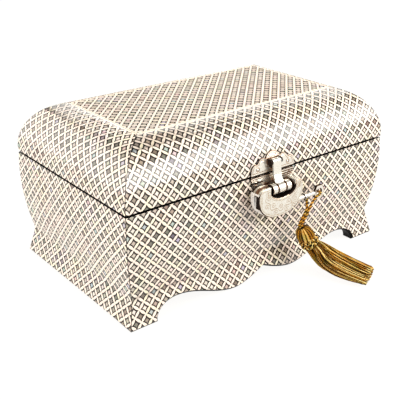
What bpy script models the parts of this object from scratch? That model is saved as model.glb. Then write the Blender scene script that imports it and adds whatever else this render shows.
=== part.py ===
"""A footed jewellery box inlaid with shell, with its hasp, half-moon padlock, key and tassel.

Metres, +Z up. The box stands on its feet at z = 0, with the front towards -Y. The origin is
under the middle of the box and its hardware, at floor level.
"""

import math

import bmesh
import bpy
from mathutils import Vector

for old in list(bpy.data.objects):
    bpy.data.objects.remove(old, do_unlink=True)

# Driving dimensions of the box
width = 0.260
depth = 0.161
body_height = 0.092
lid_height = 0.0423
board = 0.011
lid_board = 0.008
gap = 0.0003

# The side's double curve: a long bulge, a waist and a flared foot
bulge = 0.0005
bulge_height = 0.074
bulge_radius = 0.220
flare_slope = 0.24
waist_blend = 0.0012

# The dark line between lid and body is a shallow rebate on both
reveal = 0.0016
reveal_depth = 0.0025

# Scalloped lower edge of the front and back boards
foot_width = 0.0245
arch_shoulder = 0.0195
arch_height = 0.013
lobe_reach = 0.030
lobe_clearance = 0.0007
cusp_height = 0.009
cusp_sharpness = 1.6

bottom_clearance = 0.020
bottom_board = 0.006

# The lid rises straight, then curves in to the flat panel
lid_straight = 0.0045
panel_inset = 0.033
curve_overrun = 0.003
curve_power = 1.9

# Hardware, placed from its own middle on the front
hardware_x = 0.0020
plate_thickness = 0.001
plate_half_width = 0.0222

pin_radius = 0.0009
pin_height = 0.0095
pin_standoff = 0.0036
ear_width = 0.0018
ear_radius = 0.0021
bore_clearance = 0.0003

hasp_width = 0.0079
hasp_thickness = 0.0016
hasp_ring = 0.0023
knuckle_radius = 0.0043
bar_radius = 0.002
bar_standoff = 0.009
bar_drop = 0.0103
staple_width = 0.0055
staple_neck = 0.0042

padlock_x = 0.0
padlock_half_width = 0.0233
padlock_rise = 0.0046
padlock_thickness = 0.010
padlock_edge = 0.0007
arm_corner = 0.0063
bowl_drop = 0.0199
bowl_fullness = 2.3
throat_half_width = 0.0125
throat_floor = 0.0067
throat_round = 0.0065
bar_grip = 0.0035
slot_height = 0.0115
slot_top = 0.0008
slot_width = 0.005
slot_depth = 0.0025
slot_border = 0.0009

key_drop = 0.0154
key_grip = 0.006
key_barrel_radius = 0.00205
key_barrel_end = 0.0290
key_collar_radius = 0.0027
key_collar_width = 0.0012
key_shank_radius = 0.0014
key_shank_end = 0.0400
bow_half_width = 0.006
bow_half_height = 0.0066
bow_thickness = 0.002
bow_eye_radius = 0.0029

cord_diameter = 0.002

# The hardware reaches further forward than the box does behind
lock_reach = bar_standoff + padlock_thickness / 2
box_y = (lock_reach - bulge) / 2
half_width = width / 2
half_depth = depth / 2
lid_top = body_height + lid_height
bar_z = body_height - bar_drop
pin_z = body_height + pin_height


def smooth_min(first, second, blend):
    """The smaller of two heights, with their crossing rounded off."""
    near = max(blend - abs(first - second), 0.0) / blend
    return min(first, second) - near * near * blend / 4


def body_inset(z):
    """How far the body's outer face lies inside the seam line at height z."""
    upper = (z - bulge_height) ** 2 / (2 * bulge_radius) - bulge
    return smooth_min(upper, flare_slope * z, waist_blend)


curve_reach = panel_inset + curve_overrun
curve_start = body_height + lid_straight


def lid_rise_at(inset, reach):
    """Height of the lid's curve as a share of its full rise, at an inset from its foot."""
    across = max(1 - inset / reach, 0.0)
    return (1 - across ** curve_power) ** (1 / curve_power)


panel_edge = panel_inset - gap / 2
outer_rise = (lid_height - lid_straight) / lid_rise_at(panel_edge, curve_reach)


def lid_inset(z):
    """How far the lid's outer face lies inside the seam line at height z."""
    share = min(max((z - curve_start) / outer_rise, 0.0), 1.0)
    return curve_reach * (1 - (1 - share ** curve_power) ** (1 / curve_power))


def front_inset(z):
    return lid_inset(z) if z > body_height else body_inset(z)


def material(name, colour, roughness, metallic=0.0):
    made = bpy.data.materials.new(name)
    made.use_nodes = True
    shader = made.node_tree.nodes["Principled BSDF"]
    shader.inputs["Base Color"].default_value = (*colour, 1.0)
    shader.inputs["Roughness"].default_value = roughness
    shader.inputs["Metallic"].default_value = metallic
    return made


shell_inlay = material("shell_inlay", (0.78, 0.74, 0.68), 0.2)
dark_wood = material("dark_wood", (0.03, 0.025, 0.02), 0.6)
nickel_silver = material("nickel_silver", (0.78, 0.74, 0.66), 0.3, 1.0)
gold_silk = material("gold_silk", (0.65, 0.42, 0.08), 0.5)


def finish(name, mesh, finish_material, smooth_angle=30):
    """Make a named object from a bmesh, with its normals outward."""
    bmesh.ops.recalc_face_normals(mesh, faces=mesh.faces)
    data = bpy.data.meshes.new(name)
    mesh.to_mesh(data)
    mesh.free()
    data.materials.append(finish_material)
    data.shade_smooth()
    data.set_sharp_from_angle(angle=math.radians(smooth_angle))
    made = bpy.data.objects.new(name, data)
    bpy.context.collection.objects.link(made)
    return made


def loft(rings):
    """A closed skin over rings of equally many points."""
    mesh = bmesh.new()
    skins = [[mesh.verts.new(point) for point in ring] for ring in rings]
    count = len(rings[0])
    for first, second in zip(skins, skins[1:]):
        for index in range(count):
            after = (index + 1) % count
            mesh.faces.new((first[index], first[after], second[after], second[index]))
    mesh.faces.new(skins[0])
    mesh.faces.new(skins[-1])
    return mesh


def prism(outline, low, high, along):
    """An outline in two axes, extruded along the third from low to high."""
    place = {
        "x": lambda a, b, c: (c, a, b),
        "y": lambda a, b, c: (a, c, b),
        "z": lambda a, b, c: (a, b, c),
    }[along]
    return loft([[place(a, b, level) for a, b in outline] for level in (low, high)])


def cylinder_x(radius, low, high, y, z, sides=24):
    turn = 2 * math.pi / sides
    outline = [(y + radius * math.cos(i * turn), z + radius * math.sin(i * turn)) for i in range(sides)]
    return prism(outline, low, high, "x")


def cut_from(target, name, mesh, operation="DIFFERENCE"):
    """Cut a shape from a piece, or join it on, and keep the shape as a hidden guide."""
    tool = finish(name, mesh, dark_wood)
    tool.hide_render = True
    tool.display_type = "WIRE"
    step = target.modifiers.new(name, "BOOLEAN")
    step.operation = operation
    step.object = tool
    return tool


def front_y(standoff):
    """World Y of a point that stands off the front's seam line."""
    return box_y - half_depth - standoff


# Boards of the body and the lid, each a profile run between two mitres
mitre_gap = gap / 2 * math.sqrt(2)


def run_board(name, profile, length, offset, quarter_turns):
    half = length / 2
    left = [(-(half - inset - mitre_gap), inset - offset, z) for inset, z in profile]
    right = [(-x, y, z) for x, y, z in left]
    made = finish(name, loft([left, right]), shell_inlay)
    made.location.y = box_y
    made.rotation_euler.z = quarter_turns * math.pi / 2
    return made


def four_boards(part_name, profile):
    runs = {
        "front": (width, half_depth, 0),
        "right": (depth, half_width, 1),
        "back": (width, half_depth, 2),
        "left": (depth, half_width, 3),
    }
    return {
        side: run_board(f"{part_name}_{side}", profile, *run)
        for side, run in runs.items()
    }


def body_profile():
    middle = bulge_height + bulge_radius * flare_slope
    waist = middle - math.sqrt(middle ** 2 - bulge_height ** 2 + 2 * bulge_radius * bulge)
    low = [0.0, waist * 0.4, waist * 0.7]
    bend = [waist * (0.85 + 0.075 * step) for step in range(5)]
    shoulder = body_height - reveal / 2
    high = [waist * 1.3 + (shoulder - waist * 1.3) * step / 7 for step in range(8)]
    outer = [(body_inset(z), z) for z in low + bend + high]
    top = body_height - gap / 2
    return outer + [(reveal_depth, shoulder), (reveal_depth, top), (board, top), (board, 0.0)]


def lid_curve(start_inset, end_z, steps):
    """Quarter curve from the lid's straight rise to the edge of the top panel."""
    reach = curve_reach - start_inset
    full = (end_z - curve_start) / lid_rise_at(panel_edge - start_inset, reach)
    stop = math.acos((1 - (panel_edge - start_inset) / reach) ** (curve_power / 2))
    points = []
    for step in range(steps + 1):
        angle = stop * step / steps
        across = reach * (1 - math.cos(angle) ** (2 / curve_power))
        up = full * math.sin(angle) ** (2 / curve_power)
        points.append((start_inset + across, curve_start + up))
    return points


def lid_profile():
    shoulder = body_height + reveal / 2
    base = body_height + gap / 2
    outer = lid_curve(0.0, lid_top, 16)
    inner = lid_curve(board, lid_top - lid_board, 8)
    foot = [(reveal_depth, base), (reveal_depth, shoulder), (0.0, shoulder)]
    return foot + outer + inner[::-1] + [(board, base)]


body = four_boards("body", body_profile())
lid = four_boards("lid", lid_profile())


def apron_edge(x):
    """Height of the scalloped lower edge at a distance x from the middle."""
    foot_x = half_width - foot_width
    arch_x = foot_x - arch_shoulder
    away = abs(x)
    if away <= lobe_reach:
        rise = (1 - away / lobe_reach) ** cusp_sharpness
        return lobe_clearance + (cusp_height - lobe_clearance) * rise
    if away <= arch_x:
        share = (away - lobe_reach) / (arch_x - lobe_reach)
        return lobe_clearance + (arch_height - lobe_clearance) * (0.5 - 0.5 * math.cos(math.pi * share))
    across = min((away - arch_x) / arch_shoulder, 1.0)
    return arch_height * math.sqrt(1 - across * across)


def apron_outline():
    foot_x = half_width - foot_width
    arch_x = foot_x - arch_shoulder
    half = [lobe_reach * step / 8 for step in range(8)]
    half += [lobe_reach + (arch_x - lobe_reach) * step / 10 for step in range(10)]
    half += [arch_x + arch_shoulder * math.sin(math.pi / 2 * step / 8) for step in range(9)]
    right = [(x, apron_edge(x)) for x in half]
    left = [(-x, z) for x, z in right[:0:-1]]
    below = -arch_height
    return left + right + [(foot_x, below), (-foot_x, below)]


reach_past = half_depth + board
for side in ("front", "back"):
    outline = prism(apron_outline(), box_y - reach_past, box_y + reach_past, "y")
    cut_from(body[side], f"apron_cutter_{side}", outline)


def slab(name, x_half, y_half, low, high, slab_material):
    corners = [(-x_half, -y_half), (x_half, -y_half), (x_half, y_half), (-x_half, y_half)]
    made = finish(name, prism(corners, low, high, "z"), slab_material)
    made.location.y = box_y
    return made


slab(
    "bottom_board",
    half_width - board - gap,
    half_depth - board - gap,
    bottom_clearance,
    bottom_clearance + bottom_board,
    dark_wood,
)
slab(
    "lid_top",
    half_width - panel_inset - gap / 2,
    half_depth - panel_inset - gap / 2,
    lid_top - lid_board,
    lid_top,
    shell_inlay,
)

# Cloud-shaped plates: a row of round lobes (middle, height, radius), bent onto the front
lid_lobes = [(0.0, 0.0085, 0.0080), (0.0105, 0.0080, 0.0050), (0.0176, 0.0048, 0.0046)]
body_lobes = [(0.0, 0.0110, 0.0090), (0.0110, 0.0060, 0.0060), (0.0180, 0.0032, 0.0042)]
plate_columns = 36
plate_rows = 4


def lobed_edge(x, lobes):
    """The furthest reach of the lobes at a distance x from the plate's middle."""
    reach = reveal
    for middle, height, radius in lobes:
        inside = radius ** 2 - (abs(x) - middle) ** 2
        if inside >= 0:
            reach = max(reach, height + math.sqrt(inside))
        elif abs(x) <= middle:
            reach = max(reach, height)
    return reach


def cloud_plate(name, lobes, upward):
    """A plate between the seam's reveal and its lobed edge, following the board behind."""
    skins = []
    for column in range(plate_columns + 1):
        x = plate_half_width * (2 * column / plate_columns - 1)
        edge = lobed_edge(x, lobes)
        ring = []
        for row in range(plate_rows + 1):
            away = reveal / 2 + (edge - reveal / 2) * row / plate_rows
            z = body_height + (away if upward else -away)
            ring.append((hardware_x + x, z, front_inset(z) - gap))
        back = [(x_at, front_y(0) + inset, z) for x_at, z, inset in ring]
        front = [(x_at, y - plate_thickness, z) for x_at, y, z in back]
        skins.append(front + back[::-1])
    return finish(name, loft(skins), nickel_silver)


lid_plate = cloud_plate("lid_plate", lid_lobes, True)
cloud_plate("body_plate", body_lobes, False)

plate_face = gap + plate_thickness
hasp_half = hasp_width / 2
ear_inner = hasp_half + gap
ear_outer = ear_inner + ear_width


def ear_shape(middle_standoff, middle_z, radius, low, high, foot_standoff):
    """A tab with a round end, standing out from the plate around a pin."""
    arc = []
    for step in range(13):
        angle = -math.pi / 2 + math.pi * step / 12
        arc.append((middle_standoff + radius * math.cos(angle), middle_z + radius * math.sin(angle)))
    outline = [(foot_standoff, middle_z - radius)] + arc + [(foot_standoff, middle_z + radius)]
    return prism([(front_y(standoff), z) for standoff, z in outline], low, high, "x")


def bore(target, name, radius, low, high, standoff, z):
    cut_from(target, name, cylinder_x(radius, low, high, front_y(standoff), z))


# Ears on the lid plate, the pin in them, and the hasp that hangs from it
for sign, side in ((-1, "left"), (1, "right")):
    low, high = sorted((hardware_x + sign * ear_inner, hardware_x + sign * ear_outer))
    ear = ear_shape(pin_standoff, pin_z, ear_radius, low, high, gap + plate_thickness / 2)
    cut_from(lid_plate, f"ear_{side}", ear, "UNION")
bore(
    lid_plate,
    "pin_bore",
    pin_radius + bore_clearance,
    hardware_x - ear_outer - gap,
    hardware_x + ear_outer + gap,
    pin_standoff,
    pin_z,
)
pin = cylinder_x(
    pin_radius,
    hardware_x - ear_outer,
    hardware_x + ear_outer,
    front_y(pin_standoff),
    pin_z,
    16,
)
finish("hasp_pin", pin, nickel_silver)


def hasp_side():
    """Side view of the strap, down from the pin and out to the knuckle, as a closed outline."""
    top = pin_standoff + hasp_ring - hasp_thickness
    line = [
        (top, pin_z),
        (top + 0.0003, pin_z - 0.0045),
        (top + 0.0008, body_height - 0.0002),
        (top + 0.0024, bar_z + knuckle_radius + 0.0012),
        (bar_standoff - 0.0002, bar_z + knuckle_radius - 0.0016),
    ]
    front = []
    back = []
    for index, (standoff, z) in enumerate(line):
        ahead = line[min(index + 1, len(line) - 1)]
        behind = line[max(index - 1, 0)]
        along = Vector((ahead[0] - behind[0], ahead[1] - behind[1])).normalized()
        back.append((standoff, z))
        front.append((standoff - along.y * hasp_thickness, z + along.x * hasp_thickness))
    return front + back[::-1]


hasp_low = hardware_x - hasp_half
hasp_high = hardware_x + hasp_half
strap = prism([(front_y(s), z) for s, z in hasp_side()], hasp_low, hasp_high, "x")
hasp = finish("hasp", strap, nickel_silver)
top_ring = cylinder_x(hasp_ring, hasp_low, hasp_high, front_y(pin_standoff), pin_z)
cut_from(hasp, "hasp_top_ring", top_ring, "UNION")
knuckle = cylinder_x(knuckle_radius, hasp_low, hasp_high, front_y(bar_standoff), bar_z)
cut_from(hasp, "hasp_knuckle", knuckle, "UNION")
past = hasp_half + gap
bore(
    hasp,
    "hasp_pin_bore",
    pin_radius + bore_clearance,
    hardware_x - past,
    hardware_x + past,
    pin_standoff,
    pin_z,
)
bar_bore = bar_radius + bore_clearance
bore(hasp, "hasp_bar_bore", bar_bore, hardware_x - past, hardware_x + past, bar_standoff, bar_z)

# An eye stands out from the body plate on each side of the knuckle
for sign, side in ((-1, "left"), (1, "right")):
    inner = hardware_x + sign * (hasp_half + gap)
    outer = inner + sign * staple_width
    low, high = sorted((inner, outer))
    eye = cylinder_x(knuckle_radius, low, high, front_y(bar_standoff), bar_z)
    staple = finish(f"staple_{side}", eye, nickel_silver)
    half_neck = staple_neck / 2
    neck_back = front_y(plate_face + gap - body_inset(bar_z - half_neck))
    neck = [
        (neck_back, bar_z - half_neck),
        (front_y(bar_standoff), bar_z - half_neck),
        (front_y(bar_standoff), bar_z + half_neck),
        (neck_back, bar_z + half_neck),
    ]
    cut_from(staple, f"neck_{side}", prism(neck, low, high, "x"), "UNION")
    bore(staple, f"staple_bore_{side}", bar_bore, low - gap, high + gap, bar_standoff, bar_z)


# Half-moon padlock: a rounded bowl with two arms and, between them, a throat round the hasp
padlock_top = bar_z + padlock_rise
bowl_z = padlock_top - arm_corner
throat_x = hardware_x - padlock_x


def bowl_half_width_at(z):
    """Half the width of the padlock's bowl at height z, on a curve fuller than an ellipse."""
    share = (bowl_z - z) / bowl_drop
    return padlock_half_width * (1 - share ** bowl_fullness) ** (1 / bowl_fullness)


def padlock_outline():
    outer = []
    for step in range(25):
        angle = math.pi * step / 24
        across = abs(math.cos(angle)) ** (2 / bowl_fullness)
        down = math.sin(angle) ** (2 / bowl_fullness)
        side = 1 if step < 12 else -1
        outer.append((side * padlock_half_width * across, bowl_z - bowl_drop * down))
    corner = []
    for step in range(7):
        angle = math.pi / 2 * step / 6
        corner.append(
            (
                padlock_half_width - arm_corner + arm_corner * math.sin(angle),
                bowl_z + arm_corner * math.cos(angle),
            )
        )
    throat = []
    floor_z = bar_z - throat_floor + throat_round
    for step in range(13):
        angle = math.pi * step / 12
        x = throat_x - throat_half_width * math.cos(angle)
        throat.append((x, floor_z - throat_round * math.sin(angle)))
    left_corner = [(-x, z) for x, z in corner[:-1]][::-1]
    left_end = [(throat_x - throat_half_width, padlock_top)]
    right_end = [(throat_x + throat_half_width, padlock_top)]
    return corner[:-1] + outer + left_corner + left_end + throat + right_end


def padlock_body():
    outline = [(padlock_x + x, z) for x, z in padlock_outline()]
    back = front_y(bar_standoff - padlock_thickness / 2)
    front = front_y(bar_standoff + padlock_thickness / 2)
    made = finish("padlock", prism(outline, front, back, "y"), nickel_silver)
    rounding = made.modifiers.new("edge", "BEVEL")
    rounding.width = padlock_edge
    rounding.segments = 1
    rounding.limit_method = "ANGLE"
    rounding.angle_limit = math.radians(50)
    return made


padlock = padlock_body()
grip_reach = throat_half_width + bar_grip
bore(
    padlock,
    "padlock_bar_bore",
    bar_bore,
    hardware_x - grip_reach - gap,
    hardware_x + grip_reach + gap,
    bar_standoff,
    bar_z,
)
key_z = bar_z - key_drop
key_start = padlock_x + bowl_half_width_at(key_z) - key_grip
bore(
    padlock,
    "keyhole",
    key_barrel_radius + bore_clearance,
    key_start - gap,
    padlock_x + padlock_half_width,
    bar_standoff,
    key_z,
)
slot_high = bowl_z + slot_top
slot_front = bar_standoff + padlock_thickness / 2 - slot_border
slot_outline = [
    (front_y(slot_front), slot_high - slot_height),
    (front_y(slot_front - slot_width), slot_high - slot_height),
    (front_y(slot_front - slot_width), slot_high),
    (front_y(slot_front), slot_high),
]
slot_in = padlock_x - padlock_half_width + slot_depth
slot_out = padlock_x - padlock_half_width - slot_depth
cut_from(padlock, "side_slot", prism(slot_outline, slot_out, slot_in, "x"))

bar = cylinder_x(
    bar_radius,
    hardware_x - grip_reach,
    hardware_x + grip_reach,
    front_y(bar_standoff),
    bar_z,
)
finish("padlock_bar", bar, nickel_silver)

# Key: a barrel in the padlock, a collar, a shank and a six-sided bow with an eye
key_y = front_y(bar_standoff)
barrel = cylinder_x(key_barrel_radius, key_start, key_barrel_end, key_y, key_z)
key = finish("key", barrel, nickel_silver)
collar_end = key_barrel_end + key_collar_width
collar_start = key_barrel_end - gap
collar = cylinder_x(key_collar_radius, collar_start, collar_end, key_y, key_z)
cut_from(key, "key_collar", collar, "UNION")
bow_x = key_shank_end + bow_half_width
shank = cylinder_x(key_shank_radius, collar_end - gap, key_shank_end + gap * 3, key_y, key_z, 16)
cut_from(key, "key_shank", shank, "UNION")
bow_outline = [
    (bow_x + bow_half_width * math.cos(turn * math.pi / 3), key_z + bow_half_height * math.sin(turn * math.pi / 3))
    for turn in range(6)
]
bow = prism(bow_outline, key_y - bow_thickness / 2, key_y + bow_thickness / 2, "y")
cut_from(key, "key_bow", bow, "UNION")
eye_outline = [
    (bow_x + bow_eye_radius * math.cos(i * math.pi / 10), key_z + bow_eye_radius * math.sin(i * math.pi / 10))
    for i in range(20)
]
eye = prism(eye_outline, key_y - bow_thickness, key_y + bow_thickness, "y")
cut_from(key, "key_eye", eye)


def through(points, count):
    """Evenly spaced points on a smooth curve through the given ones."""
    knots = [Vector(point) for point in points]
    padded = [2 * knots[0] - knots[1]] + knots + [2 * knots[-1] - knots[-2]]
    dense = []
    for index in range(len(knots) - 1):
        before, start, end, after = padded[index:index + 4]
        for step in range(20):
            t = step / 20
            dense.append(
                0.5 * (
                    2 * start
                    + (end - before) * t
                    + (2 * before - 5 * start + 4 * end - after) * t ** 2
                    + (3 * start - before - 3 * end + after) * t ** 3
                )
            )
    dense.append(knots[-1])
    runs = [0.0]
    for first, second in zip(dense, dense[1:]):
        runs.append(runs[-1] + (second - first).length)
    evened = []
    index = 0
    for step in range(count):
        target = runs[-1] * step / (count - 1)
        while index < len(runs) - 2 and runs[index + 1] < target:
            index += 1
        share = (target - runs[index]) / (runs[index + 1] - runs[index])
        evened.append(dense[index].lerp(dense[index + 1], share))
    return evened


thread_gap = gap * 1.5

# Tassel: rings (place on the axis, half width, half height) along its leaning line
head_rings = [
    ((0.0252, -0.0931, 0.0419), 0.0024, 0.0024),
    ((0.0262, -0.0932, 0.0400), 0.0052, 0.0052),
    ((0.0278, -0.0934, 0.0370), 0.0068, 0.0068),
    ((0.0296, -0.0937, 0.0337), 0.0070, 0.0070),
    ((0.0311, -0.0941, 0.0309), 0.0065, 0.0065),
    ((0.0326, -0.0945, 0.0285), 0.0070, 0.0070),
    ((0.0342, -0.0951, 0.0261), 0.0073, 0.0072),
    ((0.0357, -0.0958, 0.0240), 0.0068, 0.0066),
]
neck = Vector(head_rings[-1][0])
neck_axis = (neck - Vector(head_rings[-2][0])).normalized()
skirt_rings = [
    (tuple(neck + neck_axis * thread_gap), 0.0062, 0.0060),
    ((0.0392, -0.0980, 0.0197), 0.0076, 0.0072),
    ((0.0426, -0.1017, 0.0150), 0.0090, 0.0080),
    ((0.0458, -0.1080, 0.0112), 0.0102, 0.0078),
    ((0.0490, -0.1160, 0.0085), 0.0110, 0.0068),
    ((0.0524, -0.1243, 0.0068), 0.0114, 0.0058),
    ((0.0558, -0.1325, 0.0060), 0.0117, 0.0053),
    ((0.0588, -0.1392, 0.0056), 0.0118, 0.0050),
]

# The cord is a loop through the key's eye: up the left leg, round behind the bow, out in front
# and down the right leg, with both ends in the tassel's head
leg_middles = [
    (0.0242, -0.0941, 0.0477),
    (0.0257, -0.0946, 0.0508),
    (0.0277, -0.0949, 0.0546),
    (0.0297, -0.0950, 0.0588),
]
leg_offset = Vector((0.0009, -0.0007, 0.0003))
loop_points = [
    (0.0312, -0.0916, 0.0609),
    (0.0340, -0.0888, 0.0619),
    (0.0378, -0.0869, 0.0629),
    (0.0415, -0.0856, 0.0642),
    (0.0448, -0.0869, 0.0655),
    (0.0462, -0.0895, 0.0663),
    (0.0452, -0.0926, 0.0666),
    (0.0420, -0.0946, 0.0665),
    (0.0382, -0.0954, 0.0662),
    (0.0348, -0.0957, 0.0643),
    (0.0323, -0.0958, 0.0619),
]
head_top = Vector(head_rings[0][0])
head_axis = (Vector(head_rings[1][0]) - head_top).normalized()
cord_lead = 0.0026
leg_starts = [head_top - head_axis * thread_gap, head_top - head_axis * cord_lead]
legs = leg_starts + [Vector(point) for point in leg_middles]
end_offset = leg_offset - head_axis * leg_offset.dot(head_axis)
end_offset *= leg_offset.length / end_offset.length
offsets = [end_offset, end_offset] + [leg_offset] * len(leg_middles)
left_leg = [middle - offset for middle, offset in zip(legs, offsets)]
right_leg = [middle + offset for middle, offset in zip(legs, offsets)]
cord_route = left_leg + [Vector(point) for point in loop_points] + right_leg[::-1]


def from_middle(point):
    """A point given from the middle of the box, in the part's own frame."""
    return Vector((point[0], point[1] + box_y, point[2]))


cord_curve = bpy.data.curves.new("cord", "CURVE")
cord_curve.dimensions = "3D"
cord_curve.bevel_depth = cord_diameter / 2
cord_curve.bevel_resolution = 2
cord_curve.use_fill_caps = True
spline = cord_curve.splines.new("POLY")
cord_points = through([from_middle(point) for point in cord_route], 40)
spline.points.add(len(cord_points) - 1)
for made, point in zip(spline.points, cord_points):
    made.co = (*point, 1.0)
cord_curve.materials.append(gold_silk)
cord = bpy.data.objects.new("cord", cord_curve)
bpy.context.collection.objects.link(cord)

tassel_sides = 18


def leaning_loft(name, rings, first_axis):
    """A skin over rings that stand square to their line; the first one's axis is given."""
    skins = []
    for index, (centre, half_wide, half_high) in enumerate(rings):
        ahead = Vector(rings[min(index + 1, len(rings) - 1)][0])
        behind = Vector(rings[max(index - 1, 0)][0])
        along = (ahead - behind).normalized() if index else first_axis
        across = along.cross(Vector((0, 0, 1))).normalized()
        up = across.cross(along)
        ring = []
        for side in range(tassel_sides):
            angle = 2 * math.pi * side / tassel_sides
            offset = across * (half_wide * math.cos(angle)) + up * (half_high * math.sin(angle))
            ring.append(from_middle(Vector(centre) + offset))
        skins.append(ring)
    return finish(name, loft(skins), gold_silk, 60)


leaning_loft("tassel_head", head_rings, head_axis)
leaning_loft("tassel_skirt", skirt_rings, neck_axis)
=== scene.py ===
"""Looks of the shell box: inlaid boards, silver lock and key, gold silk cord and tassel."""

import math
import random

import bmesh
import bpy
from mathutils import Matrix, Vector
from mathutils.bvhtree import BVHTree
from mathutils.kdtree import KDTree


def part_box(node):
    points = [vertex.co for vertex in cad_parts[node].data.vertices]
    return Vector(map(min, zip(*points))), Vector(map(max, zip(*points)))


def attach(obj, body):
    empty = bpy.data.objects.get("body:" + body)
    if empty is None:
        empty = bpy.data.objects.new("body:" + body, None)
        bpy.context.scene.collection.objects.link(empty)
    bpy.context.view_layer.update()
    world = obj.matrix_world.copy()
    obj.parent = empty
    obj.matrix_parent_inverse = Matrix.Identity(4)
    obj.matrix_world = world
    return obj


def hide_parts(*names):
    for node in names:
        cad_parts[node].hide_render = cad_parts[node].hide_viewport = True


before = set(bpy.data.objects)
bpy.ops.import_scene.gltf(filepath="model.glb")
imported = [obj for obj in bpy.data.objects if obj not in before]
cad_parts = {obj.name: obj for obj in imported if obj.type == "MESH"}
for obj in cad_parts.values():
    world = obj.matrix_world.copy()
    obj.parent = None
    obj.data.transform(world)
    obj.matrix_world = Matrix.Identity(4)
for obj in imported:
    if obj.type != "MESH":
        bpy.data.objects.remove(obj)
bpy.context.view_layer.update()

# The photograph was taken from the box's front left corner, from a little above, with a lens
# of about 65 mm on a full frame. Its aim is just left of the middle of the box.
camera_azimuth = math.radians(-38.115)
camera_elevation = math.radians(24.36)
camera_roll = math.radians(-0.095)
camera_distance = 0.62922
camera_lens = 65.49
lock_reach = 0.014
board_bulge = 0.0005
box_y = (lock_reach - board_bulge) / 2
camera_aim = Vector((-0.00426, box_y, 0.04101))

back = Vector(
    (
        math.sin(camera_azimuth) * math.cos(camera_elevation),
        -math.cos(camera_azimuth) * math.cos(camera_elevation),
        math.sin(camera_elevation),
    )
)
bpy.ops.object.camera_add(location=camera_aim + back * camera_distance)
camera = bpy.context.object
camera.name = "photo_camera"
camera.data.lens = camera_lens
camera.data.sensor_width = 36
camera.data.clip_start = 0.01
level = back.to_track_quat("Z", "Y").to_matrix()
camera.rotation_euler = (level @ Matrix.Rotation(camera_roll, 3, "Z")).to_euler()
bpy.context.scene.camera = camera


# The tassel hangs from the key on a loop of gold silk cord, two plies twisted together. It runs
# up from the tassel's head, through the key's eye and down again.
class Wire:
    """One output of a shader node. Arithmetic on it adds Math nodes to its material."""

    def __init__(self, shader, socket):
        self.shader = shader
        self.socket = socket

    def maths(self, operation, *others):
        sockets = dict(enumerate((self, *others)))
        return self.shader.add("ShaderNodeMath", {"operation": operation}, sockets)

    def __add__(self, other):
        return self.maths("ADD", other)

    def __radd__(self, other):
        return self.maths("ADD", other)

    def __sub__(self, other):
        return self.maths("SUBTRACT", other)

    def __rsub__(self, other):
        return self.shader.add("ShaderNodeMath", {"operation": "SUBTRACT"}, {0: other, 1: self})

    def __mul__(self, other):
        return self.maths("MULTIPLY", other)

    def __rmul__(self, other):
        return self.maths("MULTIPLY", other)

    def __pow__(self, other):
        return self.maths("POWER", other)

    def __abs__(self):
        return self.maths("ABSOLUTE")

    def __gt__(self, other):
        return self.maths("GREATER_THAN", other)

    def __lt__(self, other):
        return self.maths("LESS_THAN", other)


class Shader:
    """A material with a Principled shader, and one method that adds any other node."""

    def __init__(self, name, colour, roughness, metallic=0.0, **plain):
        self.material = bpy.data.materials.new(name)
        self.material.use_nodes = True
        self.tree = self.material.node_tree
        self.surface = self.tree.nodes["Principled BSDF"]
        self.set("Base Color", colour)
        self.set("Roughness", roughness)
        self.set("Metallic", metallic)
        for socket, value in plain.items():
            self.set(socket.replace("_", " "), value)

    def set(self, socket, value):
        self.join(self.surface.inputs[socket], value)

    def join(self, socket, value):
        if isinstance(value, Wire):
            self.tree.links.new(value.socket, socket)
        elif isinstance(value, tuple) and len(value) == 3 and socket.type == "RGBA":
            socket.default_value = (*value, 1.0)
        else:
            socket.default_value = value

    def add(self, kind, settings=None, sockets=None, output=0):
        node = self.tree.nodes.new(kind)
        for name, value in (settings or {}).items():
            if name == "stops":
                ramp = node.color_ramp
                while len(ramp.elements) < len(value):
                    ramp.elements.new(1.0)
                for element, (place, colour) in zip(ramp.elements, value):
                    element.position = place
                    element.color = (*colour, 1.0)
            else:
                setattr(node, name, value)
        for name, value in (sockets or {}).items():
            self.join(node.inputs[name], value)
        return Wire(self, node.outputs[output])

    def mix(self, share, first, second):
        """A colour between two colours."""
        sockets = {"Factor": share, 6: first, 7: second}
        return self.add("ShaderNodeMix", {"data_type": "RGBA"}, sockets, 2)

    def ramp(self, share, stops):
        """A colour read off a row of stops."""
        return self.add("ShaderNodeValToRGB", {"stops": stops}, {"Fac": share})

    def bump(self, height, depth, strength=1.0):
        sockets = {"Height": height, "Distance": depth, "Strength": strength}
        return self.add("ShaderNodeBump", {}, sockets)


def silk_shader():
    shader = Shader("gold_silk_thread", (0.42, 0.21, 0.025), 0.45, Specular_IOR_Level=0.1)
    tone = shader.add("ShaderNodeAttribute", {"attribute_name": "tone"}, {}, "Fac")
    place = shader.add("ShaderNodeTexCoord", {}, {}, "Object")
    fibre = shader.add(
        "ShaderNodeTexNoise",
        {},
        {"Vector": place, "Scale": 800.0, "Detail": 2.0},
    )
    light = tone * 0.95 + fibre * 0.35 - 0.30
    gold = shader.ramp(
        light,
        [
            (0.0, (0.006, 0.002, 0.0003)),
            (0.3, (0.155, 0.052, 0.001)),
            (0.6, (0.60, 0.245, 0.006)),
            (1.0, (0.98, 0.72, 0.26)),
        ],
    )
    olive = shader.ramp(
        light,
        [
            (0.0, (0.006, 0.004, 0.0003)),
            (0.3, (0.095, 0.054, 0.003)),
            (0.6, (0.40, 0.250, 0.018)),
            (1.0, (0.92, 0.76, 0.30)),
        ],
    )
    dye = shader.add("ShaderNodeTexNoise", {}, {"Vector": place, "Scale": 130.0})
    shader.set("Base Color", shader.mix((dye - 0.5) * 5.0 + 0.32, gold, olive))
    shader.set("Normal", shader.bump(fibre, 0.0002, 0.5))
    return shader.material


silk = silk_shader()


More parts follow.
